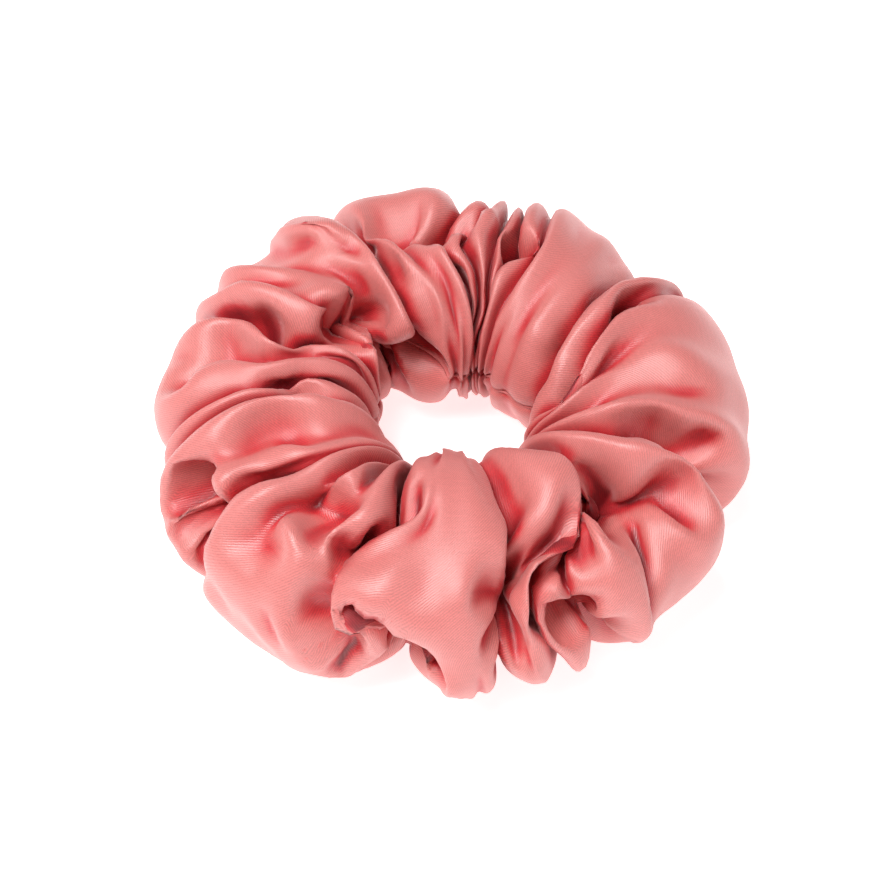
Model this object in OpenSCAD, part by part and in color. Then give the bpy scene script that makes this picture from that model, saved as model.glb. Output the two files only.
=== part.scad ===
// Gathered satin scrunchie: a fabric sleeve sewn into a tube, gathered over a loop of flat elastic.
// The loop lies flat on its rest face. Origin: centre of the hair opening, at the rest face. +Z is up.
// The sleeve is one piece of cloth. It is cut at x = 0 into two halves, so that the loop can be pulled open along X.

/* [Loop] */
// Width across the whole gathered loop as it lies
outer_d = 110; // [100:1:120]
// Width of the hair opening in the middle
opening_d = 26; // [22:1:32]
// Height of the gathered tube as it lies
tube_h = 39; // [36:0.5:42]
// How far the tube's underside is pressed flat where it rests
rest_flat = 1; // [0.5:0.1:1.5]

/* [Gathers] */
// Puffs round the loop, an even number so that the loop stays centred
puffs = 14; // [10:2:18]
// How deep each gather cuts into the tube
gather_depth = 5; // [0:0.5:6]
// How far a gather leans along the loop, in degrees of its own wave
gather_lean = 70; // [0:5:120]

/* [Elastic] */
// Width of the flat elastic
elastic_w = 6; // [5:0.5:7]
// Thickness of the flat elastic
elastic_t = 1; // [0.8:0.1:1.2]
// Diameter of the relaxed elastic loop, inside
elastic_d = 57; // [55:1:59]
// How far the elastic's two ends lie over each other, in degrees round the loop
lap_angle = 24; // [16:4:32]

/* [Sewing] */
// Thickness of the sewing thread
thread_d = 0.4; // [0.3:0.05:0.5]
// Width of the seam allowance inside the tube
allowance_w = 5; // [4:0.5:6]
// Thickness of the seam allowance, two layers of satin pressed flat
allowance_t = 0.6; // [0.4:0.1:0.8]

/* [Hidden] */

// Tube: an ellipse swept round the loop, with its underside pressed flat
tube_rx = (outer_d - opening_d) / 4;
tube_rz = (tube_h + rest_flat) / 2;
loop_r = (outer_d + opening_d) / 4;
tube_z = tube_rz - rest_flat;
gather = gather_depth / tube_rx;

// The halves stay this far apart where the sleeve is cut
cut_gap = 0.4;

// Facets of each half of the sleeve: round the loop, round the tube, and round the channel inside it
steps_u = puffs / 2 * 5;
steps_v = 16;
steps_channel = steps_v / 2;

// Channel inside the tube, round the elastic
elastic_r = elastic_d / 2;
channel_r = elastic_r - 4;
channel_w = elastic_t + 7;
channel_h = max(elastic_w + 4, (allowance_w + 0.4) / tan(22.5));
channel_mid_r = channel_r + channel_w / 2;

// Elastic: its lapped end lies outside the first layer with this gap between the layers
lap_gap = 0.05;
lap_start = 168;
lap_ramp = 20;
elastic_step = 4;

// Zigzag that joins the elastic's ends
zigzag_runs = 8;
zigzag_steps = 5;
zigzag_h = elastic_w - 2;
thread_r = thread_d / 2;

// Lengthwise seam: its allowance lies on the channel's inner wall, and the thread is sunk into it by half
allowance_r = channel_r + 0.1;
seam_z = tube_z - 1.5;
seam_thread_r = allowance_r + allowance_t;

// Hand stitches that close the sleeve's two ends, on the inner side of the tube
closing_angle = 141;
closing_count = 8;
closing_from = 186;
closing_to = 236;
closing_stitch_l = 2.2;

// A gather is deepest on top, and fades out underneath, where the loop rests
function gather_at(u, v) =
    1 - gather * (1 + sin(v)) / 2 * (1 - cos(puffs * u + gather_lean * cos(v))) / 2;

// A point at radius r from the loop's axis, at angle u round it
function ring_point(r, u, z) = [r * cos(u), r * sin(u), z];

// Point of the tube's surface at u round the loop and v round the tube, counted from its outer side upwards
function tube_point(u, v) =
    let (s = gather_at(u, v))
    ring_point(loop_r + tube_rx * s * cos(v), u, max(tube_z + tube_rz * s * sin(v), 0));

// Corner of the channel's eight-sided wall
function channel_point(u, v) =
    let (reach = 1 / cos(22.5))
    ring_point(channel_mid_r + channel_w / 2 * reach * cos(v), u, tube_z + channel_h / 2 * reach * sin(v));

// Radius of the elastic's middle at an angle, counted from where its inner end starts
function elastic_mid(a) =
    let (t = min(max((a - 360 + lap_ramp) / lap_ramp, 0), 1))
    elastic_r + elastic_t / 2 + (elastic_t + lap_gap) * t * t * (3 - 2 * t);

// Half of the sleeve from u = first_u on: the gathered skin, the channel and a flat ring at each end
module sleeve_half(first_u) {
    ring = steps_v + steps_channel;
    points = [
        for (i = [0:steps_u])
            let (u = first_u + 180 * i / steps_u)
            each concat(
                [for (j = [0:steps_v - 1]) tube_point(u, 360 * (j + 0.5) / steps_v)],
                [for (j = [0:steps_channel - 1]) channel_point(u, 360 * (j + 0.5) / steps_channel)]
            )
    ];
    function skin(i, j) = i * ring + j % steps_v;
    function wall(i, j) = i * ring + steps_v + j % steps_channel;
    skin_faces = [
        for (i = [0:steps_u - 1], j = [0:steps_v - 1])
            each [
                [skin(i, j), skin(i + 1, j + 1), skin(i, j + 1)],
                [skin(i, j), skin(i + 1, j), skin(i + 1, j + 1)]
            ]
    ];
    wall_faces = [
        for (i = [0:steps_u - 1], j = [0:steps_channel - 1])
            each [
                [wall(i, j), wall(i, j + 1), wall(i + 1, j + 1)],
                [wall(i, j), wall(i + 1, j + 1), wall(i + 1, j)]
            ]
    ];
    end_faces = [
        for (i = [0, steps_u], j = [0:steps_channel - 1])
            let (
                fan = [
                    [skin(i, 2 * j), skin(i, 2 * j + 1), wall(i, j)],
                    [skin(i, 2 * j + 1), skin(i, 2 * j + 2), wall(i, j + 1)],
                    [wall(i, j), skin(i, 2 * j + 1), wall(i, j + 1)]
                ]
            )
            for (f = fan)
                i == 0 ? f : [f[2], f[1], f[0]]
    ];
    polyhedron(points, concat(skin_faces, wall_faces, end_faces), convexity = 8);
}

// Moves a half that starts at +Y (side -1, the left) or at -Y (side 1, the right) off the cut
module at_side(side) {
    translate([side * cut_gap / 2, 0, 0])
        children();
}

// Half a loop of the 2D section that is drawn at its true radius and height
module half_loop(side) {
    at_side(side)
        rotate([0, 0, side < 0 ? 90 : -90])
            rotate_extrude(angle = 180, $fn = 96)
                children();
}

module seam_allowance_half(side) {
    half_loop(side)
        translate([allowance_r, tube_z - allowance_w / 2])
            square([allowance_t, allowance_w]);
}

module seam_thread_half(side) {
    half_loop(side)
        translate([seam_thread_r, seam_z])
            circle(thread_r, $fn = 16);
}

// A short straight stitch between two points
module stitch(p, q) {
    d = q - p;
    l = norm(d);
    translate(p)
        rotate([0, acos(d.z / l), atan2(d.y, d.x)])
            cylinder(h = l, r = thread_r, $fn = 16);
}

// A thread that lies along the points, with its sides built out from the loop's axis
module thread_along(points) {
    sides = 6;
    last = len(points) - 1;
    function unit(v) = v / norm(v);
    rings = [
        for (i = [0:last])
            let (
                along = unit(points[min(i + 1, last)] - points[max(i - 1, 0)]),
                side = unit(cross(along, [points[i].x, points[i].y, 0])),
                out = cross(side, along)
            )
            for (k = [0:sides - 1])
                points[i] + thread_r * (cos(360 * k / sides) * out + sin(360 * k / sides) * side)
    ];
    walls = [
        for (i = [0:last - 1], k = [0:sides - 1])
            [i * sides + k, (i + 1) * sides + k, (i + 1) * sides + (k + 1) % sides, i * sides + (k + 1) % sides]
    ];
    start = [for (k = [0:sides - 1]) k];
    end = [for (k = [sides - 1:-1:0]) last * sides + k];
    polyhedron(rings, concat(walls, [start, end]), convexity = 8);
}

module sleeve_left() {
    color("lightcoral")
        at_side(-1) sleeve_half(90);
}

module sleeve_right() {
    color("salmon")
        at_side(1) sleeve_half(-90);
}

module seam_allowance_left() {
    color("indianred") seam_allowance_half(-1);
}

module seam_allowance_right() {
    color("indianred") seam_allowance_half(1);
}

module seam_thread_left() {
    color("brown") seam_thread_half(-1);
}

module seam_thread_right() {
    color("brown") seam_thread_half(1);
}

// One strip bent into a loop, whose outer end lies over its inner end
module elastic_loop() {
    angles = [for (a = [0:elastic_step:360 + lap_angle]) a];
    outside = [for (a = angles) (elastic_mid(a) + elastic_t / 2) * [cos(a + lap_start), sin(a + lap_start)]];
    inside = [for (a = angles) (elastic_mid(a) - elastic_t / 2) * [cos(a + lap_start), sin(a + lap_start)]];
    color("white")
        translate([0, 0, tube_z - elastic_w / 2])
            linear_extrude(elastic_w)
                polygon(concat(outside, [for (i = [len(inside) - 1:-1:0]) inside[i]]));
}

// Zigzag through the lap: one thread shows on its outer face and one on its inner face, both pulled in by half
module elastic_join_stitches() {
    first = lap_start + lap_angle * 0.2;
    pitch = lap_angle * 0.6 / zigzag_runs;
    color("mistyrose")
        for (r = [elastic_r, elastic_r + 2 * elastic_t + lap_gap])
            thread_along([
                for (i = [0:1 / zigzag_steps:zigzag_runs])
                    ring_point(r, first + i * pitch, tube_z - zigzag_h / 2 * cos(180 * i))
            ]);
}

// Short stitches across the line where the sleeve's ends meet, half sunk into the cloth
module closing_stitches() {
    color("brown")
        at_side(-1)
            for (i = [0:closing_count - 1]) {
                v = closing_from + (closing_to - closing_from) * i / (closing_count - 1);
                half_span = closing_stitch_l * 90 / PI / (loop_r + tube_rx * cos(v));
                stitch(tube_point(closing_angle - half_span, v), tube_point(closing_angle + half_span, v));
            }
}

sleeve_left();
sleeve_right();
seam_allowance_left();
seam_allowance_right();
seam_thread_left();
seam_thread_right();
elastic_loop();
elastic_join_stitches();
closing_stitches();
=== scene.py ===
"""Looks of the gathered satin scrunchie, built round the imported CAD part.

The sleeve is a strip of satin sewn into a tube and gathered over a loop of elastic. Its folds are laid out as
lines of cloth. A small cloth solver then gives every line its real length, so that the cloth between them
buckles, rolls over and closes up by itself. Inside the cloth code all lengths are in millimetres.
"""

import math

import bpy
import numpy as np
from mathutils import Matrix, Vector


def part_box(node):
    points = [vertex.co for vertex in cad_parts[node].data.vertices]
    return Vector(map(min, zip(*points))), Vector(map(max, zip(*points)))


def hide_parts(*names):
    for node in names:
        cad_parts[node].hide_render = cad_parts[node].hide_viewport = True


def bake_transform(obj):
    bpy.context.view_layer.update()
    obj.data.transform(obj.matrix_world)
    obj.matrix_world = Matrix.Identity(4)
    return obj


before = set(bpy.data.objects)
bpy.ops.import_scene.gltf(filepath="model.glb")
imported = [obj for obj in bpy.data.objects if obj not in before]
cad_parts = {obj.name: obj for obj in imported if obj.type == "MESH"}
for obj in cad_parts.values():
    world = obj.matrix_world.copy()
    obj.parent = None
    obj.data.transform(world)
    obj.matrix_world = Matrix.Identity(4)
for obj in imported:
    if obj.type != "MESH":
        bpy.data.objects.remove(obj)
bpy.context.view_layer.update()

MM = 0.001

# ------------------------------------------------------------------------------------------------- the tube
# Ellipse swept round the loop, close to the CAD sleeve's: the loop's radius, and the ellipse's half width,
# half height and the height of its middle
LOOP_R = 34.0
TUBE_RX = 21.0
TUBE_RZ = 19.3
TUBE_Z = 19.5
# Room kept free round the elastic: radius and height of its middle, and half the room's width
CORE_R = 29.0
CORE_Z = 19.0
CORE_ROOM = 3.6

# ------------------------------------------------------------------------------------------------ the cloth
COLUMNS = 300  # cells along the cloth, round the loop
ROWS = 80  # cells round the tube
GIRTH = 122.0  # girth of the cloth tube
CLOTH_THICK = 0.25
CLOTH_MORE = 1.03  # length of the cloth between two lines against their distance, so that it buckles
CLOTH_MORE_INSIDE = 1.12  # the same at the hair opening, where the cloth is gathered most
GIRTH_MORE = 1.03
LEAST_CLOTH = 2.2  # at least this much cloth between two lines
LEAST_CELL = 0.45  # least length of a cell against the mean one

# How firmly the cloth is guided, against cloth on a line: between the lines, and on a crease
LOOSE = 0.25
CREASE_FIRM = 3.0

# Solver, for the laid-out cloth and for the same cloth with twice the columns, which only smooths it
STEPS = (400, 60)
CLOTH_GAP = (1.4, 0.8)  # cloth keeps this far clear of itself
PRESS = (0.001, 0.0)  # air and springiness that round the puffs out, mm a step
STIFF = (0.01, 0.012)  # against bending
TOP_SPEED = (0.5, 0.2)  # mm a step
HOLD = 0.3  # pull of the guide
DRAW_IN = 0.5  # share of the steps in which the cloth reaches its length
MOMENTUM = 0.9
ENVELOPE = 1.15  # size of the tube past which cloth is drawn back
ENVELOPE_PULL = 0.06
FLOOR_GAP = 0.3
PAIRS_EVERY = 8  # steps between two searches for cloth that is close to other cloth
PAIRS_MARGIN = 0.8
OWN_CLOTH = 2.3  # cloth nearer along itself than this many gaps doesn't count as other cloth
CONTACT_SHARE = 0.35
EDGE_SHARE = 0.9
DIAGONAL_SHARE = 0.15
START_WAVES = 10
START_WAVE_HEIGHT = 0.12

# Places round the tube, in degrees from its outer side upwards, at which each fold line is given
STATIONS = (0, 45, 90, 135, 180, 270, 360)
RELIEF = 2.0  # how much deeper the grooves are than the lines say
UNDER_GROOVE = 0.9
UNDER_RIDGE = 0.98
GROOVE_FLARE = 0.9  # below 1, the sides of a groove rise more steeply
LINE_PARTS = 12  # steps between two lines, along which the cloth is measured
MEASURED_AT = 85  # the cloth is as long as this percentile of its rows

# Lines of the cloth, ridges "r", hollows "h" and grooves "g", counter-clockwise from the front left of the
# loop: their angle round the loop, and the tube's size there, at the first five stations
FOLD_LINES = [
    ("g", (259, 246, 252, 248, 252), (0.46, 0.68, 0.74, 0.78, 0.80)),  # left of the front panel
    ("r", (265, 244, 256, 253, 256), (0.98, 1.05, 0.99, 1.04, 1.0)),  # front panel, left edge
    ("r", (272, 263, 268, 268, 268), (1.10, 1.02, 1.0, 1.14, 1.10)),  # front panel, middle
    ("r", (277, 280, 284, 283, 280), (1.05, 1.04, 1.02, 1.06, 1.0)),  # front panel, right edge
    ("g", (279, 278, 285, 285, 284), (0.58, 0.64, 0.76, 0.82, 0.80)),
    ("h", (282, 282, 290, 290, 288), (0.98, 0.80, 0.88, 0.98, 0.98)),  # S-shaped fold, left face
    ("r", (285, 285, 301, 302, 300), (1.05, 0.90, 1.0, 1.06, 1.06)),  # its top
    ("r", (287, 288, 312, 315, 310), (1.02, 1.06, 1.02, 0.95, 0.95)),  # its right edge
    ("g", (290, 288, 305, 313, 315), (0.64, 0.70, 0.66, 0.76, 0.80)),
    ("r", (293, 293, 308, 316, 318), (1.06, 0.94, 0.80, 0.80, 0.84)),  # narrow fold
    ("g", (298, 298, 310, 317, 320), (0.76, 0.84, 0.72, 0.74, 0.80)),
    ("r", (306, 309, 312, 318, 322), (1.11, 1.05, 0.80, 0.80, 0.84)),  # curled fold
    ("h", (313, 317, 317, 320, 325), (1.0, 0.84, 0.60, 0.78, 0.84)),  # hollow
    ("r", (328, 332, 326, 323, 328), (1.08, 1.07, 1.04, 0.98, 0.95)),  # front right puff
    ("g", (343, 341, 338, 332, 331), (0.72, 0.66, 0.78, 0.80, 0.80)),  # below the right puff
    ("r", (350, 348, 345, 336, 334), (1.08, 1.03, 1.0, 0.95, 0.95)),  # right puff, lower edge
    ("h", (357, 355, 352, 341, 337), (1.04, 0.98, 0.92, 0.88, 0.90)),
    ("r", (365, 363, 362, 345, 339), (1.09, 1.05, 0.99, 0.96, 0.95)),  # arched roll on the right puff
    ("h", (372, 371, 370, 347, 341), (1.07, 1.02, 0.95, 0.93, 0.90)),
    ("r", (384, 383, 380, 350, 343), (1.10, 1.06, 1.01, 0.97, 0.95)),  # right puff, upper edge
    ("g", (391, 389, 384, 354, 346), (0.94, 0.90, 0.66, 0.62, 0.75)),  # deep crease above it
    ("r", (394, 393, 390, 370, 356), (1.04, 1.05, 1.04, 0.98, 0.95)),  # roll above the crease
    ("g", (399, 398, 396, 383, 374), (0.82, 0.80, 0.84, 0.82, 0.85)),
    ("r", (406, 404, 403, 396, 392), (0.94, 0.93, 0.98, 1.0, 0.98)),  # back right puff
    ("r", (415, 414, 410, 410, 410), (1.0, 0.98, 0.98, 0.98, 1.0)),
    ("r", (425, 424, 419, 421, 424), (1.07, 1.06, 1.04, 0.97, 0.95)),
    ("g", (428, 426, 422, 425, 428), (0.97, 0.95, 0.90, 0.90, 0.92)),
    ("r", (431, 430, 426, 430, 431), (1.06, 1.05, 1.03, 0.97, 0.95)),  # rolled left edge of the same puff
    ("g", (433, 432, 429, 432, 433), (0.84, 0.78, 0.74, 0.82, 0.85)),
    ("r", (435, 434, 433, 433, 434), (0.97, 0.98, 0.95, 0.92, 0.95)),  # pleats at the back
    ("g", (437, 436, 436, 434, 434), (0.88, 0.86, 0.84, 0.86, 0.86)),
    ("r", (439, 438, 440, 435, 435), (1.0, 0.99, 0.97, 0.93, 0.95)),
    ("g", (441, 440, 444, 436, 436), (0.86, 0.84, 0.82, 0.86, 0.86)),
    ("r", (444, 443, 448, 438, 437), (0.98, 0.97, 0.96, 0.92, 0.95)),
    ("g", (448, 448, 453, 442, 439), (0.80, 0.76, 0.74, 0.74, 0.80)),
    ("r", (453, 453, 458, 441, 438), (1.10, 1.08, 0.99, 1.02, 0.98)),  # right edge of the back puff
    ("h", (464, 465, 467, 452, 446), (1.16, 1.0, 0.95, 1.02, 1.0)),
    ("r", (475, 473, 471, 463, 460), (1.12, 1.06, 1.0, 1.0, 1.05)),
    ("g", (479, 476, 475, 478, 484), (0.70, 0.70, 0.78, 0.72, 0.68)),
    ("r", (487, 486, 481, 481, 490), (1.16, 1.14, 1.04, 1.04, 0.88)),  # peak at the back left
    ("h", (494, 494, 489, 491, 499), (1.02, 0.98, 0.94, 0.68, 0.76)),
    ("r", (504, 504, 498, 498, 505), (1.12, 1.05, 0.98, 0.95, 0.88)),
    ("h", (509, 509, 506, 502, 508), (0.96, 0.92, 0.92, 0.84, 0.84)),
    ("r", (512, 514, 511, 504, 510), (1.12, 1.08, 0.99, 0.98, 0.95)),  # roll below the peak
    ("g", (516, 518, 522, 512, 514), (0.78, 0.78, 0.74, 0.76, 0.82)),
    ("r", (523, 523, 526, 516, 517), (1.10, 1.06, 0.98, 0.96, 0.95)),  # upper roll on the left
    ("h", (530, 531, 531, 521, 521), (1.08, 0.86, 0.86, 0.92, 0.88)),
    ("r", (539, 539, 536, 528, 527), (1.10, 1.03, 0.95, 0.98, 0.96)),  # lower roll on the left
    ("g", (545, 545, 543, 535, 534), (0.80, 0.80, 0.82, 0.84, 0.85)),
    ("r", (548, 548, 546, 541, 541), (1.02, 0.98, 0.95, 0.96, 0.95)),
    ("g", (551, 551, 549, 548, 550), (0.84, 0.82, 0.80, 0.84, 0.86)),
    ("r", (556, 555, 554, 558, 566), (1.10, 1.06, 1.0, 1.02, 0.97)),  # dome, upper edge
    ("h", (562, 563, 565, 572, 580), (1.06, 0.95, 0.90, 0.96, 1.0)),  # hollow
    ("r", (568, 569, 575, 583, 590), (1.06, 1.0, 0.98, 1.0, 0.98)),
    ("g", (573, 572, 579, 588, 597), (0.66, 0.66, 0.84, 0.82, 0.82)),
    ("r", (580, 578, 584, 589, 598), (1.12, 1.07, 1.02, 0.98, 0.94)),  # roll that sweeps up from the left
    ("h", (588, 585, 590, 592, 601), (1.12, 1.0, 0.90, 0.86, 0.86)),
    ("r", (597, 594, 595, 595, 603), (1.16, 1.08, 1.0, 0.93, 0.90)),
    ("h", (604, 600, 600, 598, 606), (1.08, 1.03, 0.95, 0.86, 0.86)),  # spiral of cloth
    ("r", (611, 603, 605, 602, 608), (0.99, 1.03, 1.04, 0.98, 0.93)),  # roll that runs into the front panel
]

# Creases and crests pressed into the folds: change of the tube's size, radius in mm, and their path as angles
# round the loop and round the tube
CREASES = [
    # right
    (0.06, 2.0, ((32, 64), (31, 80), (28, 97), (22, 112), (18, 124))),
    (-0.22, 1.8, ((27, 76), (22, 97), (15, 112), (5, 125), (352, 136))),
    (0.05, 2.0, ((30, 60), (23, 84), (15, 102), (2, 121), (350, 134))),
    (0.07, 1.8, ((5, 112), (10, 101), (12, 91), (11, 78), (8, 66), (2, 57), (352, 47), (343, 38))),
    (-0.12, 3.0, ((0, 104), (3, 92), (3, 80), (358, 70))),
    (0.07, 1.9, ((343, 98), (349, 84), (356, 70))),
    (0.05, 1.7, ((336, 74), (338, 60), (340, 45), (341, 30))),
    (-0.12, 7.0, ((40, 55), (37, 40))),
    (-0.12, 2.5, ((30, 124), (24, 130))),
    (0.06, 1.6, ((40, 132), (34, 123), (27, 121))),
    # front right
    (-0.30, 2.8, ((311, 78), (304, 77), (297, 72), (291, 62), (288, 50))),
    (-0.50, 3.8, ((319, 79), (322, 68), (326, 56), (329, 47))),
    (-0.5, 2.4, ((293, 25), (295, 15))),
    (0.07, 1.6, ((314, 87), (306, 87), (298, 82), (291, 72), (286, 60), (284, 45))),
    (-0.28, 1.6, ((309, 63), (300, 57), (294, 48), (290, 36))),
    (0.06, 1.8, ((309, 69), (301, 65), (293, 56), (288, 42), (286, 20))),
    (0.06, 1.6, ((310, 60), (310, 48), (308.5, 28), (307, 5), (306, -10))),
    (0.08, 1.5, ((290, 28), (292, 35), (297, 27), (299, 14), (298, 2))),
    (-0.35, 3.2, ((302, -4), (302, -20))),
    (-0.35, 3.6, ((280.5, 50), (281, 35), (281, 20))),
    (-0.16, 3.5, ((288, 125), (288, 105), (287, 85))),
    (-0.15, 4.0, ((316, 62), (315, 50), (318, 42))),
    (0.08, 2.4, ((320, 112), (325, 98), (330, 85), (334, 66), (335, 44), (332, 22))),
    # front left
    (-0.9, 4.0, ((205, 27), (210, 20))),
    (0.07, 2.0, ((198, 22), (201, 37), (207, 45), (213, 40))),
    (0.14, 2.0, ((198, 12), (203, 2), (209, 0), (215, 6))),
    (0.08, 2.4, ((217, 34), (219, 47), (222, 60), (226, 78), (230, 96), (235, 108))),
    (-0.10, 3.2, ((226, 44), (226, 58), (227, 68))),
    (-0.08, 4.0, ((224, 26), (226, 38))),
    (-0.07, 2.4, ((224, 74), (226, 88), (232, 101))),
    (0.05, 2.4, ((228, 66), (228, 80), (233, 91), (239, 94))),
    (0.06, 2.4, ((231, 58), (238, 61), (243, 72), (246, 90), (245, 110))),
    (-0.28, 1.6, ((257, 100), (251, 80), (245, 60), (243, 42), (244, 24), (244, 6))),
    (0.12, 1.8, ((244, 38), (248, 27), (252, 16))),
    (-0.30, 2.4, ((246, 14), (247, 2), (248, -8))),
    (-0.6, 3.4, ((258, 25), (260, 8), (258, -15))),
    (0.12, 9.0, ((222, 4), (238, -8))),
    (-0.07, 4.0, ((250, -12), (251, -24))),
    (0.05, 2.2, ((244, 43), (252, 38), (262, 31), (266, 14), (271, -5))),
    (0.05, 1.8, ((268, 110), (258, 96), (248, 75))),
    (-0.08, 2.4, ((262, 88), (254, 72), (249, 57))),
    (-0.22, 1.8, ((182, 100), (187, 106), (187, 114))),
    # back left
    (-0.36, 5.0, ((107, 72), (99, 77))),
    (-0.55, 3.0, ((138, 121), (143, 126))),
    (-0.5, 4.5, ((126, 165), (122, 172))),
    (-0.20, 1.8, ((157, 58), (162, 74), (164, 98), (160, 118))),
    (0.06, 2.4, ((153, 52), (148, 78), (140, 105), (136, 116))),
    (-0.10, 3.5, ((142, 50), (137, 75), (130, 95))),
    (0.24, 3.0, ((127, 44), (127, 62))),
    (0.14, 3.5, ((147, 34), (147, 50))),
    (-0.08, 4.0, ((137, 36), (137, 56))),
    (0.10, 1.7, ((135, 114), (128, 119), (120, 131), (122, 146))),
    (-0.14, 1.8, ((113, 99), (109, 96), (107, 89))),
    (0.07, 2.2, ((112, 84), (107, 88), (100, 97), (90, 108), (82, 124), (78, 138), (71, 150))),
    (-0.12, 1.8, ((98, 90), (91, 100), (84, 112), (78, 126), (74, 140))),
    (0.10, 1.7, ((80, 74), (86, 85), (92, 93), (97, 100))),
    (-0.22, 1.6, ((84, 70), (91, 82), (98, 92))),
    (0.08, 1.6, ((81, 50), (83, 84), (84, 112))),
    (-0.35, 2.0, ((68.5, 82), (68, 92))),
]

# Holes where the cloth curls away from the front: depth and radius in mm, and their path as above
HOLES = [
    (8.0, 3.7, ((234, 75), (237, 75))),  # spiral of cloth
    (4.5, 4.8, ((163, 68), (169, 61), (175, 57))),
    (4.0, 5.0, ((203, 88), (207, 76), (212, 70))),
    (5.0, 3.0, ((340, 80), (341, 70), (343, 56), (344, 42))),
]
INTO_HOLE = np.array((0.0, 0.62, -0.78))  # away from the camera

# ---------------------------------------------------------------------------------------------- the elastic
# Height of the band's middle and its width, as the CAD band has them
elastic_low, elastic_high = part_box("elastic_loop")
ELASTIC_Z = (elastic_low[2] + elastic_high[2]) / 2 / MM
ELASTIC_W = (elastic_high[2] - elastic_low[2]) / MM
ELASTIC_IN_R = 28.5
ELASTIC_T = 1.0
# The band's inner end, the lap and the ramp on to it, in degrees round the loop
LAP_FROM = 168
LAP_ANGLE = 24
LAP_RAMP = 20
LAP_GAP = 0.05
ELASTIC_RIBS = 6
ELASTIC_RIB_H = 0.05
ZIGZAG_RUNS = 8
JOIN_THREAD_R = 0.19

# ------------------------------------------------------------------------------------------------ the sewing
ALLOWANCE_W = 4.5
ALLOWANCE_GAP = 0.35
SEAM_INSET = 0.5  # how far the seam pulls the cloth in
SEAM_HALF_GAP = 0.12
SEAM_THREAD_R = 0.18
CLOSING_TURN = 141  # where the sleeve's two ends meet, in degrees round the loop
CLOSING_FROM = 186  # first and last stitch, in degrees round the tube
CLOSING_TO = 236
CLOSING_COUNT = 8
CLOSING_THREAD_R = 0.2
THREAD_STRANDS = 2
THREAD_LOBE = 0.14

# -------------------------------------------------------------------------------------------- looks and light
# Colours, linear
CORAL = (0.70, 0.20, 0.185)
# Painted shade for the satin down its folds, and darker painted shade in its deepest creases
CORAL_PAINTED_SHADE = (0.60, 0.03, 0.038)
CORAL_PAINTED_CREASE_SHADE = (0.26, 0.008, 0.014)
ELASTIC_WHITE = (0.78, 0.76, 0.72)
CORAL_INSIDE = (0.70, 0.17, 0.16)
THREAD_CORAL = (0.62, 0.13, 0.12)
ELASTIC_THREAD = (0.80, 0.62, 0.58)
FLOOR_COLOUR = (0.93, 0.93, 0.93)
FLOOR_GLOW = 0.7
TWILL_TURN = 52  # degrees from the length of the cloth
TWILL_PITCH = 0.42
# Reach of the search for cloth that hides a point, which sets the painted shade in the folds
HOLLOW_REACH = 5.0

# Camera, at the photographed angle
CAMERA_ELEVATION = 52
CAMERA_TARGET = (0, 0, 0.019)
CAMERA_DISTANCE = 0.43
CAMERA_LENS = 90.4
CAMERA_SHIFT = (-0.0079, -0.0146)
WORLD_TOP = 0.15  # dim above, so that the folds keep their depth
WORLD_HORIZON = 0.95
FLOOR_HALF = 1.2
LIGHT_TARGET = (0, 0, 0.02)


# ---------------------------------------------------------------------------- laying out and settling cloth
def tube_points(u, v, size):
    """Points of the tube at angles u round the loop and v round the tube, in radians."""
    u, v, size = np.broadcast_arrays(u, v, size)
    r = LOOP_R + TUBE_RX * size * np.cos(v)
    return np.stack([r * np.cos(u), r * np.sin(u), TUBE_Z + TUBE_RZ * size * np.sin(v)], -1)


def spline(knots, t, turn=0.0):
    """Closed Catmull-Rom curve through knots at t = 0, 1, 2 ..., where each full turn adds turn."""
    count = len(knots)
    cell = np.floor(t).astype(int)
    tail = (-1,) + (1,) * (knots.ndim - 1)

    def knot(k):
        return knots[k % count] + (k // count).reshape(tail) * turn

    f = (t - cell).reshape(tail)
    a, b, c, d = (knot(cell + k) for k in (-1, 0, 1, 2))
    return 0.5 * (2 * b + (c - a) * f + (2 * a - 5 * b + 4 * c - d) * f**2 + (3 * b - a - 3 * c + d) * f**3)


def length_of(vectors):
    """Lengths of the vectors, kept above zero and as a last axis of one."""
    return np.sqrt((vectors * vectors).sum(-1, keepdims=True)) + 1e-9


def unit(vectors):
    return vectors / length_of(vectors)


def grid_normals(points):
    """Outward normals of a grid that closes on itself both ways."""
    along = np.roll(points, -1, 0) - np.roll(points, 1, 0)
    around = np.roll(points, -1, 1) - np.roll(points, 1, 1)
    return unit(np.cross(along, around))


def path_distance(points, path):
    """Distance of each point from a path on the smooth tube, given by its angles in degrees."""
    turns, rounds = np.unwrap(np.radians(np.array(path, float)), axis=0).T
    t = np.linspace(0, len(path) - 1, 8 * len(path))
    knots = np.arange(len(path))
    line = tube_points(np.interp(t, knots, turns), np.interp(t, knots, rounds), 1.0)
    nearest = np.full(points.shape[:-1], np.inf)
    for a, b in zip(line[:-1], line[1:]):
        along = np.clip(((points - a) @ (b - a)) / ((b - a) @ (b - a)), 0, 1)
        nearest = np.minimum(nearest, length_of(points - a - along[..., None] * (b - a))[..., 0])
    return nearest


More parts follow.
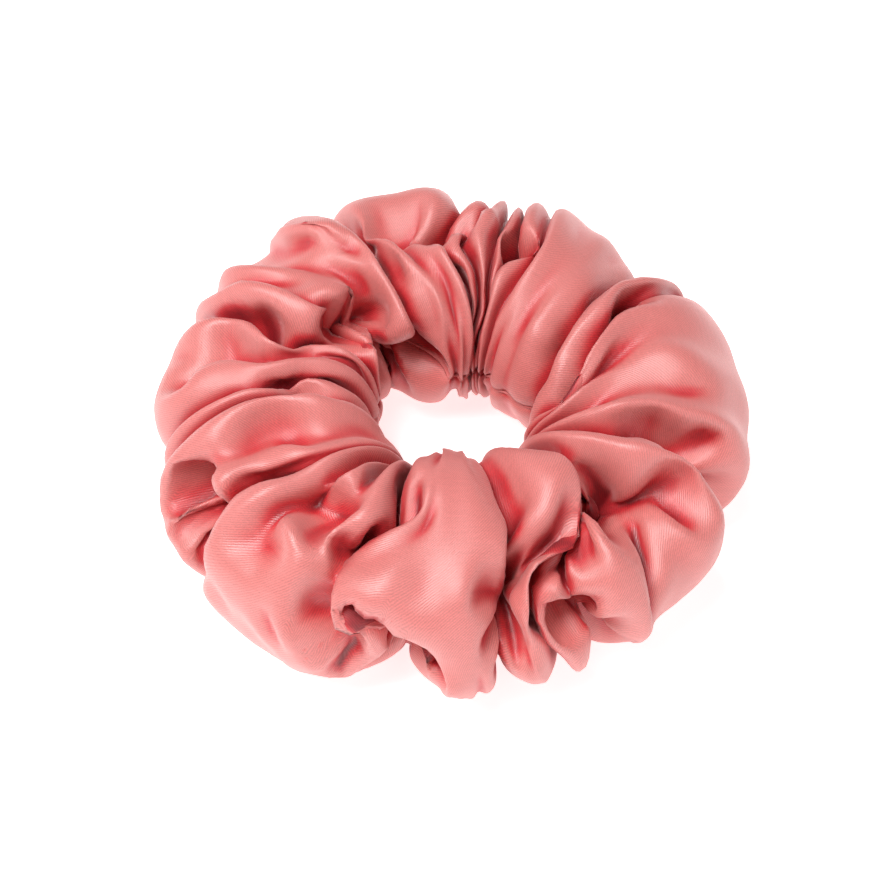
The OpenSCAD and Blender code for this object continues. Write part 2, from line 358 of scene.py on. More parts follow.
def across_lines(angles, sizes, place):
    """Angles and sizes between the lines: a groove "g" is sharp, a ridge "r" and a hollow "h" are round."""
    kinds = np.array([line[0] for line in FOLD_LINES])
    first = np.floor(place).astype(int) % len(kinds)
    second = (first + 1) % len(kinds)
    f = (place - np.floor(place))[:, None]
    rising = np.sin(np.pi / 2 * f) ** GROOVE_FLARE
    falling = 1 - np.sin(np.pi / 2 * (1 - f)) ** GROOVE_FLARE
    leaves_groove = (kinds[first] == "g") & (kinds[second] != "g")
    meets_groove = (kinds[first] != "g") & (kinds[second] == "g")
    ease = np.where(meets_groove[:, None], falling, f * f * (3 - 2 * f))
    ease = np.where(leaves_groove[:, None], rising, ease)
    return spline(angles, place, 2 * np.pi), sizes[first] + (sizes[second] - sizes[first]) * ease


def fold_layout(columns, rows):
    """The folds as a grid: where each point of cloth should lie, how firmly, and the mean cell's width."""
    v = np.arange(rows) / rows * 2 * np.pi
    station = np.interp(np.degrees(v), STATIONS, np.arange(len(STATIONS))) % (len(STATIONS) - 1)
    angles = []
    sizes = []
    for kind, line_angles, line_sizes in FOLD_LINES:
        angles.append([*line_angles, (line_angles[0] + line_angles[-1]) / 2])
        sizes.append([*line_sizes, UNDER_RIDGE if kind == "r" else UNDER_GROOVE])
    angles = np.radians(spline(np.array(angles, float).T, station).T)
    sizes = spline(np.array(sizes, float).T, station).T
    sizes = np.where(sizes < 1, 1 + RELIEF * (sizes - 1), sizes)
    # The cloth between two lines is as long as their distance over the tube's upper side
    places = len(FOLD_LINES) * LINE_PARTS
    t = np.arange(places) / LINE_PARTS
    u, size = across_lines(angles, sizes, t)
    fine = tube_points(u, v, size)
    steps = length_of(np.roll(fine, -1, 0) - fine)[..., 0]
    steps = np.percentile(steps[:, : rows // 2 + 1], MEASURED_AT, axis=1)
    steps = np.maximum(steps, LEAST_CLOTH / LINE_PARTS)
    reach = np.concatenate([[0], np.cumsum(steps)])
    along = np.arange(columns) / columns * reach[-1]
    place = np.interp(along, reach, np.arange(places + 1) / LINE_PARTS)
    u, size = across_lines(angles, sizes, place)
    to_line = np.abs(along[:, None] - reach[::LINE_PARTS]).min(1)
    firm = (LOOSE + (1 - LOOSE) * np.exp(-((to_line / 2) ** 2)))[:, None] * np.ones_like(size)
    smooth = tube_points(u, v, 1.0)
    for change, radius, path in CREASES:
        near = np.exp(-((path_distance(smooth, path) / radius) ** 2))
        size = size + change * near
        firm = np.maximum(firm, CREASE_FIRM * near)
    points = tube_points(u, v, size)
    for depth, radius, path in HOLES:
        near = np.exp(-((path_distance(smooth, path) / radius) ** 3))
        points = points + depth * near[..., None] * INTO_HOLE
        firm = np.maximum(firm, CREASE_FIRM * near)
    # Underneath, the cloth is held half as firmly
    firm = firm * (0.5 + 0.5 * np.clip(np.sin(v) + 0.6, 0, 1))
    return points, firm[..., None], reach[-1] / columns


def near_pairs(points, reach):
    """Index pairs of points closer than reach, each pair once."""
    cell = np.floor(points / reach).astype(np.int64)
    cell -= cell.min(0) - 1
    span = cell.max(0) + 2
    key = (cell[:, 0] * span[1] + cell[:, 1]) * span[2] + cell[:, 2]
    order = np.argsort(key, kind="stable")
    key = key[order]
    place = np.arange(len(points))
    first = []
    second = []
    for x in (-1, 0, 1):
        for y in (-1, 0, 1):
            for z in (-1, 0, 1):
                step = (x * span[1] + y) * span[2] + z
                if step < 0:
                    continue
                low = np.searchsorted(key, key + step, "left")
                high = np.searchsorted(key, key + step, "right")
                if step == 0:
                    low = np.maximum(low, place + 1)
                many = np.maximum(high - low, 0)
                i = np.repeat(place, many)
                before = np.repeat(low - np.cumsum(many) + many, many)
                first.append(order[i])
                second.append(order[before + np.arange(len(i))])
    i = np.concatenate(first)
    j = np.concatenate(second)
    gap = points[i] - points[j]
    close = (gap * gap).sum(1) < reach * reach
    return i[close], j[close]


def hold_edges(points, rest, axis):
    """Moves neighbours along one way of the grid towards their rest distance, even pairs first."""
    for odd in (0, 1):
        rolled = np.roll(points, -odd, axis) if odd else points
        wanted = np.roll(rest, -odd, axis) if odd else rest
        even = (slice(0, None, 2),) if axis == 0 else (slice(None), slice(0, None, 2))
        other = (slice(1, None, 2),) if axis == 0 else (slice(None), slice(1, None, 2))
        step = rolled[other] - rolled[even]
        long = length_of(step)
        move = step * (0.5 * EDGE_SHARE * (long - wanted[even]) / long)
        rolled[even] += move
        rolled[other] -= move
        if odd:
            points[:] = np.roll(rolled, odd, axis)


def hold_diagonals(points, rest):
    """Moves the corners of each cell towards their rest distance, so that it doesn't shear."""
    for way in (1, -1):
        step = np.roll(points, (-1, -way), (0, 1)) - points
        long = length_of(step)
        move = step * (0.25 * DIAGONAL_SHARE * (long - rest) / long)
        points += move - np.roll(move, (1, way), (0, 1))


def second_difference(points):
    """The sum of each point's four neighbours, less four times the point."""
    along = np.roll(points, 1, 0) + np.roll(points, -1, 0)
    return along + np.roll(points, 1, 1) + np.roll(points, -1, 1) - 4 * points


def relax(points, rest_u, rest_v, stage, guide=None, firm=None):
    """Lets the cloth settle: it grows to its rest lengths, bends, is guided, and keeps clear of itself."""
    columns, rows = points.shape[:2]
    steps = STEPS[stage]
    gap = CLOTH_GAP[stage]
    start_u = length_of(np.roll(points, -1, 0) - points)
    mean_u, mean_v = float(rest_u.mean()), float(rest_v.mean())
    column, row = (a.ravel() for a in np.meshgrid(np.arange(columns), np.arange(rows), indexing="ij"))
    before = points.copy()
    i = j = np.zeros(0, int)
    for step in range(steps):
        part = min(step / (DRAW_IN * steps), 1.0)
        part = part * part * (3 - 2 * part)
        rest_along = start_u * (1 - part) + rest_u * part
        drift = MOMENTUM * (points - before)
        drift *= np.minimum(1, TOP_SPEED[stage] / length_of(drift))
        before = points.copy()
        points = points + drift + PRESS[stage] * grid_normals(points)
        points -= STIFF[stage] * second_difference(second_difference(points))
        if guide is not None:
            points += HOLD * firm * (guide - points)
        # Out of the elastic's room, and softly back into the tube
        r = np.sqrt(points[..., 0] ** 2 + points[..., 1] ** 2) + 1e-9
        from_core = np.stack([r - CORE_R, points[..., 2] - CORE_Z], -1)
        far = length_of(from_core)
        push = from_core * np.maximum(CORE_ROOM - far, 0) / far
        from_tube = np.stack([r - LOOP_R, points[..., 2] - TUBE_Z], -1)
        size = length_of(from_tube / (TUBE_RX, TUBE_RZ))
        push -= from_tube * ENVELOPE_PULL * np.maximum(size - ENVELOPE, 0) / size
        points[..., :2] *= (1 + push[..., 0] / r)[..., None]
        points[..., 2] += push[..., 1]
        for _ in range(2):
            hold_edges(points, rest_along, 0)
            hold_edges(points, rest_v, 1)
        hold_diagonals(points, np.sqrt(rest_along**2 + rest_v**2))
        flat = points.reshape(-1, 3)
        if step % PAIRS_EVERY == 0:
            i, j = near_pairs(flat, gap + PAIRS_MARGIN)
            apart_u = np.abs(column[i] - column[j])
            apart_v = np.abs(row[i] - row[j])
            apart_u = np.minimum(apart_u, columns - apart_u) * mean_u
            apart_v = np.minimum(apart_v, rows - apart_v) * mean_v
            other = apart_u**2 + apart_v**2 > (OWN_CLOTH * gap) ** 2
            i, j = i[other], j[other]
        between = flat[i] - flat[j]
        far = length_of(between)
        move = between * (CONTACT_SHARE * np.maximum(gap - far, 0) / far)
        for axis in range(3):
            flat[:, axis] += np.bincount(i, move[:, axis], len(flat))
            flat[:, axis] -= np.bincount(j, move[:, axis], len(flat))
        points[..., 2] = np.maximum(points[..., 2], FLOOR_GAP)
    return points


def finer(points):
    """The same grid with twice the columns."""
    before = np.roll(points, 1, 0)
    after = np.roll(points, -1, 0)
    beyond = np.roll(points, -2, 0)
    out = np.empty((2 * points.shape[0], *points.shape[1:]))
    out[0::2] = points
    out[1::2] = (9 * (points + after) - before - beyond) / 16
    return out


def gathered_cloth():
    """The sleeve's grid of points and the width of one cell of its cloth."""
    guide, firm, cell = fold_layout(COLUMNS, ROWS)
    inner = np.clip(-np.cos(np.arange(ROWS) / ROWS * 2 * np.pi), 0, 1)[None, :, None]
    more = CLOTH_MORE + (CLOTH_MORE_INSIDE - CLOTH_MORE) * inner
    rest_u = np.maximum(length_of(np.roll(guide, -1, 0) - guide) * more, LEAST_CELL * cell)
    rest_v = length_of(np.roll(guide, -1, 1) - guide) * GIRTH_MORE
    # A few faint waves, so that no fold starts out exactly even
    points = guide.copy()
    draw = np.random.default_rng(1)
    a = np.arange(COLUMNS)[:, None] / COLUMNS
    b = np.arange(ROWS)[None, :] / ROWS
    for _ in range(START_WAVES):
        waves_u = draw.integers(10, 60)
        waves_v = draw.integers(0, 4)
        phase = draw.uniform(0, 2 * np.pi)
        wave = np.sin(2 * np.pi * (waves_u * a + waves_v * b) + phase)
        points += START_WAVE_HEIGHT * wave[..., None] * draw.normal(0, 1, 3)
    points = finer(relax(points, rest_u, rest_v, 0, guide, firm))
    rest_u = length_of(np.roll(points, -1, 0) - points)
    rest_v = length_of(np.roll(points, -1, 1) - points)
    return relax(points, rest_u, rest_v, 1), cell / 2


# ------------------------------------------------------------------------------------------- building pieces
def new_piece(name, points, faces, materials, smooth=True):
    """A mesh object from points in millimetres and faces as lists of point numbers."""
    mesh = bpy.data.meshes.new(name)
    mesh.from_pydata((np.asarray(points).reshape(-1, 3) * MM).tolist(), [], faces)
    mesh.update()
    mesh.polygons.foreach_set("use_smooth", [smooth] * len(mesh.polygons))
    for material in materials:
        mesh.materials.append(material)
    piece = bpy.data.objects.new(name, mesh)
    bpy.context.scene.collection.objects.link(piece)
    return piece


def set_uv(piece, values):
    """Stores a cloth position in millimetres for each corner."""
    layer = piece.data.uv_layers.new(name="cloth")
    layer.data.foreach_set("uv", np.asarray(values, np.float32).ravel())


def set_attribute(piece, name, values):
    """Stores one number for each point."""
    attribute = piece.data.attributes.new(name, "FLOAT", "POINT")
    attribute.data.foreach_set("value", np.asarray(values, np.float32))


def hollowness(points, normals):
    """How far each point lies down a fold: nearby cloth that stands in front of it hides it. The satin paints
    shade by it.
    """
    flat = points.reshape(-1, 3)
    n = normals.reshape(-1, 3)
    i, j = near_pairs(flat, HOLLOW_REACH)
    step = flat[j] - flat[i]
    far = length_of(step)[:, 0]
    weight = (1 - far / HOLLOW_REACH) ** 2
    over_i = np.maximum((step * n[i]).sum(1), 0) * (weight / far)
    over_j = np.maximum(-(step * n[j]).sum(1), 0) * (weight / far)
    near = np.bincount(i, weight, len(flat)) + np.bincount(j, weight, len(flat))
    hidden = np.bincount(i, over_i, len(flat)) + np.bincount(j, over_j, len(flat))
    return (hidden / np.maximum(near, 1e-6)).reshape(points.shape[:2])


def flat_pattern(cut, cell_u, cell_v):
    """Where the points of the cut-open cloth lie once it is pressed flat, starting from an even grid."""
    along = np.arange(cut.shape[0]) * cell_u
    across = np.arange(cut.shape[1]) * cell_v
    flat = np.stack(np.meshgrid(along, across, indexing="ij"), -1)
    for _ in range(80):
        for a, b in (
            (np.s_[:-1, :], np.s_[1:, :]),
            (np.s_[:, :-1], np.s_[:, 1:]),
            (np.s_[:-1, :-1], np.s_[1:, 1:]),
            (np.s_[:-1, 1:], np.s_[1:, :-1]),
        ):
            step = flat[b] - flat[a]
            long = length_of(step)
            move = step * (0.25 * (long - length_of(cut[b] - cut[a])) / long)
            flat[a] += move
            flat[b] -= move
    return flat


def build_sleeve(points, cell_u, outside, inside):
    """The satin sleeve, a thin sheet open along its lengthwise seam."""
    columns, rows = points.shape[:2]
    normals = grid_normals(points)
    for _ in range(2):
        normals = unit(normals + 0.5 * second_difference(normals) / 2)
    # How hidden each point is, for the satin's painted shade in the folds
    hollow = hollowness(points, normals)
    order = (np.arange(rows + 1) + rows // 2) % rows
    outer = points[:, order].copy()
    facing = normals[:, order]
    depth = hollow[:, order]
    # The two edges meet in a shallow groove, where the seam pulls the cloth in
    around = unit(outer[:, 1] - outer[:, -2])
    outer[:, 0] += SEAM_HALF_GAP * around - SEAM_INSET * facing[:, 0]
    outer[:, -1] += -SEAM_HALF_GAP * around - SEAM_INSET * facing[:, -1]
    inner = outer - CLOTH_THICK * facing
    count = columns * (rows + 1)
    column = np.arange(columns)[:, None]
    after = (column + 1) % columns
    row = np.arange(rows)[None, :]
    a = column * (rows + 1) + row
    b = after * (rows + 1) + row
    out_faces = np.stack([a, b, b + 1, a + 1], -1).reshape(-1, 4)
    in_faces = out_faces[:, ::-1] + count
    first = np.stack([a[:, 0], a[:, 0] + count, b[:, 0] + count, b[:, 0]], -1)
    last = np.stack([b[:, -1] + 1, b[:, -1] + 1 + count, a[:, -1] + 1 + count, a[:, -1] + 1], -1)
    faces = np.concatenate([out_faces, in_faces, first, last])
    skins = np.concatenate([outer.reshape(-1, 3), inner.reshape(-1, 3)])
    piece = new_piece("sleeve", skins, faces.tolist(), [outside, inside])
    slots = np.zeros(len(faces), np.int32)
    slots[len(out_faces) :] = 1
    piece.data.polygons.foreach_set("material_index", slots)
    # Flat position of each corner, which goes on past the last column
    flat = flat_pattern(np.concatenate([outer, outer[:1]]), cell_u, GIRTH / rows)
    at_column = (faces % count) // (rows + 1)
    wraps = (at_column.max(1) - at_column.min(1)) > 1
    at_column = np.where(wraps[:, None] & (at_column == 0), columns, at_column)
    set_uv(piece, flat[at_column, faces % (rows + 1)])
    # Stored on both skins for the painted shade
    set_attribute(piece, "hollow", np.concatenate([depth.ravel(), depth.ravel()]))
    return piece


def sweep(name, rings, material, closed=True, uv_step=1.0):
    """A tube through rings of points (count, sides, 3), closed on itself or with capped ends."""
    count, sides = rings.shape[:2]
    ring = np.arange(count if closed else count - 1)[:, None]
    side = np.arange(sides)[None, :]
    turned = (side + 1) % sides
    here = ring * sides
    there = (ring + 1) % count * sides
    faces = np.stack([here + side, here + turned, there + turned, there + side], -1).reshape(-1, 4).tolist()
    if not closed:
        faces += [list(range(sides))[::-1], [(count - 1) * sides + k for k in range(sides)]]
    piece = new_piece(name, rings, faces, [material])
    values = []
    for polygon in faces:
        if len(polygon) != 4:
            values += [(0.0, 0.0)] * len(polygon)
            continue
        at = [divmod(p, sides) for p in polygon]
        for r, s in at:
            # Past the last ring or side, the position goes on instead of starting again
            if closed and r == 0 and max(q[0] for q in at) == count - 1:
                r = count
            if s == 0 and max(q[1] for q in at) == sides - 1:
                s = sides
            values.append((r * uv_step, s * uv_step))
    set_uv(piece, values)
    return piece


def frames(path, up, closed):
    """Sideways directions along a path: away from up, and square to both."""
    if closed:
        along = unit(np.roll(path, -1, 0) - np.roll(path, 1, 0))
    else:
        along = unit(np.gradient(path, axis=0))
    side = unit(np.cross(along, up))
    return side, unit(np.cross(side, along))


def thread_rings(path, up, radius, twist, sides=8, closed=False):
    """Rings of a twisted thread: its section has one lobe for each strand, turning along it."""
    side, top = frames(path, up, closed)
    step = np.r_[0, np.cumsum(np.linalg.norm(np.diff(path, axis=0), axis=1))]
    angle = np.arange(sides) / sides * 2 * np.pi
    lobes = radius * (1 + THREAD_LOBE * np.cos(THREAD_STRANDS * (angle[None, :] - step[:, None] * twist)))
    return (
        path[:, None]
        + (lobes * np.cos(angle))[..., None] * side[:, None]
        + (lobes * np.sin(angle))[..., None] * top[:, None]
    )


# -------------------------------------------------------------------------------------------------- materials
def shader(name, colour, roughness, sheen=0.0, sheen_roughness=0.5, specular=0.5):
    """A material with its nodes and its shader, whose sheen has a paler tint of its own colour."""
    material = bpy.data.materials.new(name)
    material.use_nodes = True
    bsdf = material.node_tree.nodes["Principled BSDF"]
    bsdf.inputs["Base Color"].default_value = (*colour, 1)
    bsdf.inputs["Roughness"].default_value = roughness
    bsdf.inputs["Sheen Weight"].default_value = sheen
    bsdf.inputs["Sheen Roughness"].default_value = sheen_roughness
    bsdf.inputs["Sheen Tint"].default_value = (1, *(0.4 + 0.6 * part / colour[0] for part in colour[1:]), 1)
    bsdf.inputs["Specular IOR Level"].default_value = specular
    return material, Nodes(material.node_tree), bsdf


class Nodes:
    """Short names for making and linking the nodes of one material."""

    def __init__(self, tree):
        self.tree = tree

    def add(self, kind, **settings):
        node = self.tree.nodes.new(kind)
        for key, value in settings.items():
            setattr(node, key, value)
        return node

    def link(self, source, target):
        self.tree.links.new(source, target)

    def math(self, operation, a, b):
        node = self.add("ShaderNodeMath", operation=operation)
        for index, value in enumerate((a, b)):
            if isinstance(value, (int, float)):
                node.inputs[index].default_value = value
            else:
                self.link(value, node.inputs[index])
        return node.outputs[0]

    def mix(self, factor, a, b, blend="MIX"):
        node = self.add("ShaderNodeMix", data_type="RGBA", blend_type=blend)
        for socket, value in ((node.inputs[0], factor), (node.inputs[6], a), (node.inputs[7], b)):
            if isinstance(value, float):
                socket.default_value = value
            elif isinstance(value, tuple):
                socket.default_value = (*value, 1)
            else:
                self.link(value, socket)
        return node.outputs[2]

    def ramp(self, factor, low, high, out_low=0.0, out_high=1.0):
        node = self.add("ShaderNodeMapRange", interpolation_type="SMOOTHSTEP")
        self.link(factor, node.inputs[0])
        for index, value in enumerate((low, high, out_low, out_high)):
            node.inputs[index + 1].default_value = value
        return node.outputs[0]

    def noise(self, vector, scale, detail=2.0, roughness=0.5):
        node = self.add("ShaderNodeTexNoise")
        node.inputs["Scale"].default_value = scale
        node.inputs["Detail"].default_value = detail
        node.inputs["Roughness"].default_value = roughness
        self.link(vector, node.inputs["Vector"])
        return node.outputs["Fac"]

    def cloth(self):
        return self.add("ShaderNodeUVMap", uv_map="cloth").outputs[0]

    def scaled(self, vector, x, y, turn=0.0):
        node = self.add("ShaderNodeMapping")
        self.link(vector, node.inputs[0])
        node.inputs["Rotation"].default_value = (0, 0, turn)
        node.inputs["Scale"].default_value = (x, y, 1)
        return node.outputs[0]

    def wave(self, vector, pitch, distortion=0.0, detail_scale=1.0):
        """Bands across X whose pitch is in the vector's own unit."""
        node = self.add("ShaderNodeTexWave", wave_type="BANDS", bands_direction="X")
        node.inputs["Scale"].default_value = 2 * math.pi / 20 / pitch
        node.inputs["Distortion"].default_value = distortion
        node.inputs["Detail"].default_value = 1.0
        node.inputs["Detail Scale"].default_value = detail_scale
        self.link(vector, node.inputs["Vector"])
        return node.outputs["Fac"]

    def bump(self, height, distance, bsdf, strength=1.0):
        node = self.add("ShaderNodeBump")
        node.inputs["Strength"].default_value = strength
        node.inputs["Distance"].default_value = distance
        self.link(height, node.inputs["Height"])
        self.link(node.outputs[0], bsdf.inputs["Normal"])


def satin(name, light, painted_shade, painted_crease_shade, shine, weave_depth, sheen):
    """Woven satin: floats in fine diagonal lines, slubs along the threads, painted shade down the folds."""
    material, n, bsdf = shader(name, light, shine, sheen, 0.35, 0.8)
    cloth = n.cloth()
    twill = n.wave(n.scaled(cloth, 1, 1, math.radians(TWILL_TURN)), TWILL_PITCH, 1.2, 2.0)
    floats = n.noise(n.scaled(cloth, 1.0, 5.0, math.radians(TWILL_TURN)), 2.6, 2.0, 0.6)
    slub = n.noise(n.scaled(cloth, 0.12, 1.6), 1.0, 3.0, 0.6)
    grain = n.noise(cloth, 3.2, 2.0, 0.7)
    # Painted shade: deeper red where nearby cloth hides the satin, darkest where it is hidden most
    hollow = n.add("ShaderNodeAttribute", attribute_name="hollow").outputs["Fac"]
    down = n.ramp(hollow, 0.015, 0.24)
    crease_shade_mask = n.ramp(hollow, 0.18, 0.42)
    colour = n.mix(down, light, painted_shade)
    colour = n.mix(crease_shade_mask, colour, painted_crease_shade)
    weave = n.math("ADD", n.math("MULTIPLY", twill, 0.6), n.math("MULTIPLY", floats, 0.4))
    tone = n.math("ADD", n.ramp(weave, 0.2, 0.8, 0.88, 1.08), n.ramp(slub, 0.3, 0.7, -0.03, 0.03))
    tone = n.math("ADD", tone, n.ramp(grain, 0.3, 0.7, -0.09, 0.09))
    colour = n.mix(1.0, colour, tone, "MULTIPLY")
    n.link(colour, bsdf.inputs["Base Color"])
    rough = n.ramp(weave, 0.2, 0.8, shine + 0.06, shine - 0.05)
    n.link(n.math("ADD", rough, n.ramp(grain, 0.3, 0.7, -0.03, 0.03)), bsdf.inputs["Roughness"])
    height = n.math("ADD", n.math("MULTIPLY", weave, 0.8), n.math("MULTIPLY", slub, 0.25))
    n.bump(height, weave_depth, bsdf, 0.8)
    return material


def thread_material(name, colour, roughness):
    """Spun polyester: fine fibres that run slantwise along the thread."""
    material, n, bsdf = shader(name, colour, roughness, 0.3, 0.5, 0.4)
    spun = n.scaled(n.cloth(), 1, 0.5, math.radians(35))
    fibres = n.wave(spun, 0.35, 2.0, 1.5)
    fuzz = n.noise(spun, 2.0, 3.0, 0.6)
    yarn = n.math("ADD", n.math("MULTIPLY", fibres, 0.6), n.math("MULTIPLY", fuzz, 0.4))
    tone = n.ramp(yarn, 0.2, 0.8, 0.8, 1.08)
    n.link(n.mix(1.0, colour, tone, "MULTIPLY"), bsdf.inputs["Base Color"])
    n.bump(fibres, 0.00004, bsdf, 0.6)
    return material


def elastic_material():
    """Braided elastic: white yarns that cross in a chevron over the rubber cores."""
    material, n, bsdf = shader("braided_elastic", ELASTIC_WHITE, 0.62, 0.25, 0.5, 0.35)
    cloth = n.cloth()
    one = n.wave(n.scaled(cloth, 1, 1, math.radians(38)), 0.62, 0.6, 1.0)
    two = n.wave(n.scaled(cloth, 1, 1, math.radians(-38)), 0.62, 0.6, 1.0)
    yarn = n.math("MAXIMUM", one, two)
    fuzz = n.noise(cloth, 2.2, 3.0, 0.6)
    tone = n.math("ADD", n.ramp(yarn, 0.3, 0.95, 0.78, 1.0), n.ramp(fuzz, 0.3, 0.7, -0.04, 0.04))
    n.link(n.mix(1.0, ELASTIC_WHITE, tone, "MULTIPLY"), bsdf.inputs["Base Color"])
    n.link(n.ramp(yarn, 0.3, 0.95, 0.75, 0.55), bsdf.inputs["Roughness"])
    n.bump(yarn, 0.00008, bsdf, 0.8)
    return material


# ------------------------------------------------------------------------------------- building the elastic
def elastic_middle(degrees):
    """Radius of the band's middle, counted in degrees from where its inner end starts, as in the CAD band."""
    t = np.clip((degrees - 360 + LAP_RAMP) / LAP_RAMP, 0, 1)
    return ELASTIC_IN_R + ELASTIC_T / 2 + (ELASTIC_T + LAP_GAP) * t * t * (3 - 2 * t)


def build_elastic(material):
    """A flat band with lengthwise ribs over its rubber cores, bent into a loop with its ends lapped."""
    turn = np.arange(0, 360 + LAP_ANGLE + 0.5, 1.0)
    angle = np.radians(turn + LAP_FROM)
    per_side = 25
    across = np.linspace(-1, 1, per_side)
    ribs = ELASTIC_RIB_H * np.cos(across * np.pi * ELASTIC_RIBS)
    half = np.maximum((ELASTIC_T / 2 - 0.06) * (1 - across**8) ** 0.5 + ribs, 0.08)
    section_r = np.concatenate([half, -half[::-1]])
    section_z = np.concatenate([across, across[::-1]]) * (ELASTIC_W / 2 - 0.02)
    r = elastic_middle(turn)[:, None] + section_r[None, :]
    z = np.broadcast_to(ELASTIC_Z + section_z, r.shape)
    rings = np.stack([r * np.cos(angle)[:, None], r * np.sin(angle)[:, None], z], -1)
    step = math.radians(1.0) * ELASTIC_IN_R
    return sweep("elastic_band", rings[:, ::-1], material, closed=False, uv_step=step)


def build_join(material):
    """Zigzag that sews the band's lapped ends together: one thread on each face."""
    t = np.linspace(0, ZIGZAG_RUNS, ZIGZAG_RUNS * 12 + 1)
    angle = np.radians(LAP_FROM + LAP_ANGLE * 0.2 + t * (LAP_ANGLE * 0.6 / ZIGZAG_RUNS))
    z = ELASTIC_Z - (ELASTIC_W - 2) / 2 * np.cos(np.pi * t)
    made = []
    for r in (ELASTIC_IN_R, ELASTIC_IN_R + 2 * ELASTIC_T + LAP_GAP):
        path = np.stack([r * np.cos(angle), r * np.sin(angle), z], -1)
        up = np.stack([np.cos(angle), np.sin(angle), 0 * angle], -1)
        made.append(thread_rings(path, up, JOIN_THREAD_R, 4.0))
    return join_sweeps("elastic_join_thread", made, material)


def join_sweeps(name, rings_list, material):
    """Several threads as one piece."""
    parts = []
    for k, rings in enumerate(rings_list):
        parts.append(sweep(f"{name}_{k}", rings, material, closed=False, uv_step=0.3))
    with bpy.context.temp_override(active_object=parts[0], selected_editable_objects=parts, object=parts[0]):
        bpy.ops.object.join()
    parts[0].name = name
    parts[0].data.name = name
    return parts[0]


# -------------------------------------------------------------------------------------- building the sewing
def seam_line(points):
    """The seam's row of points, and the way its allowance hangs: towards the elastic."""
    row = points.shape[1] // 2
    line = points[:, row].copy()
    for _ in range(3):
        line = (np.roll(line, 1, 0) + 2 * line + np.roll(line, -1, 0)) / 4
    radial = unit(line * (1, 1, 0))
    target = radial * (CORE_R - 4.2) + (0, 0, CORE_Z)
    return line, unit(target - line)


def build_allowance(points, material):
    """The seam's two raw edges, pressed together and turned inside, with their cut edge slightly frayed."""
    line, inwards = seam_line(points)
    along = unit(np.roll(line, -1, 0) - np.roll(line, 1, 0))
    side = unit(np.cross(along, inwards))
    steps = np.linspace(0.3, ALLOWANCE_W, 7)
    count = np.arange(len(line))
    fray = 0.15 * np.sin(count * 1.7) + 0.1 * np.sin(count * 4.1)
    rings = []
    for sign in (1, -1):
        for step in steps[::sign]:
            reach = step + (fray if step == ALLOWANCE_W else 0)
            lean = ALLOWANCE_GAP * (0.35 + 0.65 * step / ALLOWANCE_W)
            rings.append(line + inwards * np.reshape(reach, (-1, 1)) + side * sign * lean)
    return sweep("seam_allowance", np.stack(rings, 1), material, uv_step=1.2)


def build_seam_thread(points, material):
    """Lockstitch along the allowance, 1 mm from the fold, that dips between its stitches."""
    line, inwards = seam_line(points)
    along = unit(np.roll(line, -1, 0) - np.roll(line, 1, 0))
    side = unit(np.cross(along, inwards))
    count = len(line)
    dip = np.abs(np.sin(np.arange(count) * np.pi / 2 + 0.7))[:, None]
    path = line + inwards * 1.0 + side * (ALLOWANCE_GAP * 0.5 + 0.22 * dip)
    return sweep("seam_thread", thread_rings(path, side, SEAM_THREAD_R, 3.0, 6, True), material, uv_step=0.4)


def build_closing(points, material):
    """Short whip stitches across the line where the sleeve's two ends meet."""
    columns, rows = points.shape[:2]
    normals = grid_normals(points)
    angle = np.degrees(np.arctan2(points[..., 1], points[..., 0])) % 360
    first_row = round(CLOSING_FROM / 360 * rows)
    column = np.argmin(np.abs(angle[:, first_row] - CLOSING_TURN))
    made = []
    for k in range(CLOSING_COUNT):
        v = CLOSING_FROM + (CLOSING_TO - CLOSING_FROM) * k / (CLOSING_COUNT - 1)
        row = round(v / 360 * rows)
        centre = points[column, row]
        out = normals[column, row]
        along = unit(points[(column + 1) % columns, row] - points[(column - 1) % columns, row])
        around = unit(np.cross(out, along))
        t = np.linspace(-1, 1, 13)[:, None]
        path = centre + along * t * 1.1 + around * t * 0.35 + out * (0.25 - 0.55 * t**4)
        made.append(thread_rings(path, np.broadcast_to(out, path.shape), CLOSING_THREAD_R, 4.0))
    return join_sweeps("closing_stitch_thread", made, material)


# ----------------------------------------------------------------------------------------------------- scene
def soft_box(name, place, size, power):
    """A square light that looks at the middle of the loop."""
    light = bpy.data.lights.new(name, "AREA")
    light.shape = "SQUARE"
    light.size = size
    light.energy = power
    lamp = bpy.data.objects.new(name, light)
    bpy.context.scene.collection.objects.link(lamp)
    lamp.location = place
    lamp.rotation_euler = (Vector(LIGHT_TARGET) - Vector(place)).to_track_quat("-Z", "Y").to_euler()


def build_floor():
    """A white floor that glows a little, so that it stays pale under soft light."""
    material, _, bsdf = shader("floor", FLOOR_COLOUR, 0.9, specular=0.1)
    bsdf.inputs["Emission Color"].default_value = (1, 1, 1, 1)
    bsdf.inputs["Emission Strength"].default_value = FLOOR_GLOW
    corners = np.array([(-1, -1, 0), (1, -1, 0), (1, 1, 0), (-1, 1, 0)]) * FLOOR_HALF / MM
    new_piece("floor", corners, [(0, 1, 2, 3)], [material], smooth=False)


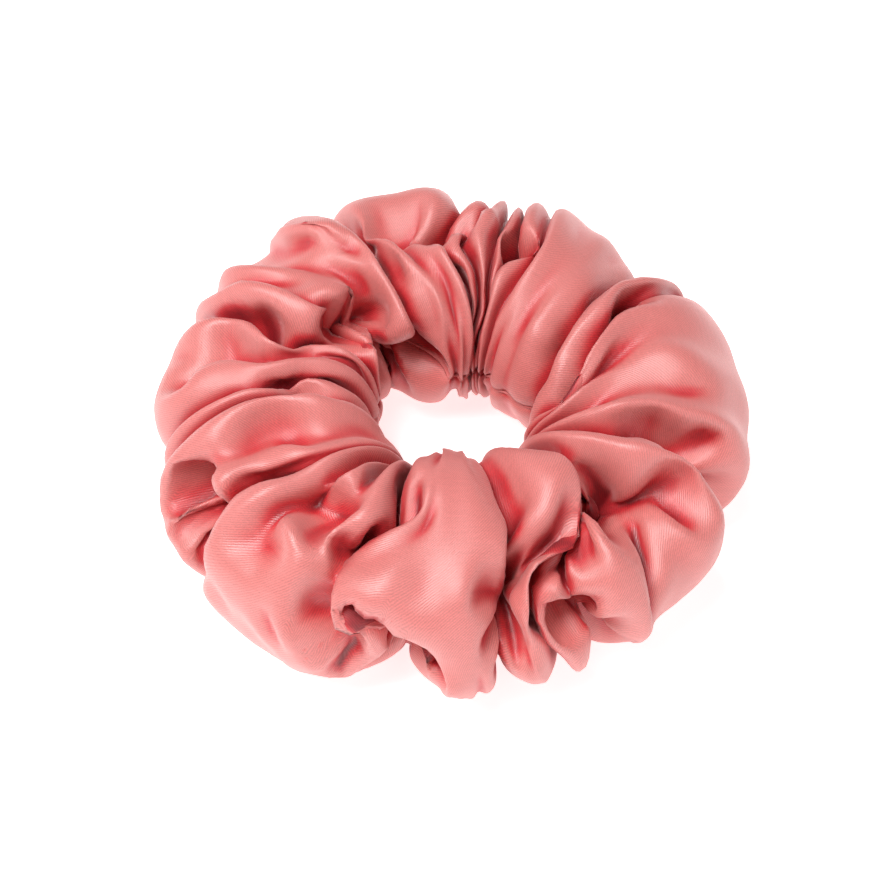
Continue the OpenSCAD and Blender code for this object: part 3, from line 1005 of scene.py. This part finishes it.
def build_camera():
    camera = bpy.data.cameras.new("camera")
    holder = bpy.data.objects.new("camera", camera)
    bpy.context.scene.collection.objects.link(holder)
    tilt = math.radians(CAMERA_ELEVATION)
    back = Vector((0, -math.cos(tilt), math.sin(tilt)))
    holder.location = Vector(CAMERA_TARGET) + back * CAMERA_DISTANCE
    holder.rotation_euler = (-back).to_track_quat("-Z", "Y").to_euler()
    camera.sensor_width = 36
    camera.lens = CAMERA_LENS
    camera.shift_x = CAMERA_SHIFT[0]
    camera.shift_y = CAMERA_SHIFT[1]
    bpy.context.scene.camera = holder


def build_world():
    """A plain surround, white near the horizon."""
    world = bpy.data.worlds.new("studio")
    bpy.context.scene.world = world
    world.use_nodes = True
    background = world.node_tree.nodes["Background"]
    background.inputs["Strength"].default_value = 1.0
    n = Nodes(world.node_tree)
    direction = n.add("ShaderNodeSeparateXYZ")
    n.link(n.add("ShaderNodeTexCoord").outputs["Generated"], direction.inputs[0])
    n.link(n.ramp(direction.outputs[2], 0.1, 0.4, WORLD_HORIZON, WORLD_TOP), background.inputs["Color"])


satin_outside = satin("satin", CORAL, CORAL_PAINTED_SHADE, CORAL_PAINTED_CREASE_SHADE, 0.40, 0.00007, 0.55)
satin_inside = satin("satin_inside", CORAL_INSIDE, CORAL_PAINTED_SHADE, CORAL_PAINTED_CREASE_SHADE, 0.62, 0.00004, 0.15)
thread = thread_material("thread", THREAD_CORAL, 0.5)
elastic_thread = thread_material("elastic_thread", ELASTIC_THREAD, 0.55)
elastic = elastic_material()

cloth_points, cloth_cell = gathered_cloth()
sleeve = build_sleeve(cloth_points, cloth_cell, satin_outside, satin_inside)
allowance = build_allowance(cloth_points, satin_inside)
pieces = (
    (sleeve, "satin", ("sleeve_left", "sleeve_right")),
    (allowance, "satin_inside", ("seam_allowance_left", "seam_allowance_right")),
    (build_seam_thread(cloth_points, thread), "thread", ("seam_thread_left", "seam_thread_right")),
    (build_elastic(elastic), "elastic", ("elastic_loop",)),
    (build_join(elastic_thread), "elastic_thread", ("elastic_join_stitches",)),
    (build_closing(cloth_points, thread), "thread", ("closing_stitches",)),
)
for piece, slot, nodes in pieces:
    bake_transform(piece)
    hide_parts(*nodes)

build_floor()
build_world()
soft_box("key", (-0.2, -0.1, 0.6), 0.35, 4.4)
soft_box("fill", (0.4, -0.3, 0.35), 0.4, 0.45)
build_camera()
bpy.context.scene.view_settings.view_transform = "Standard"
bpy.context.scene.view_settings.look = "None"
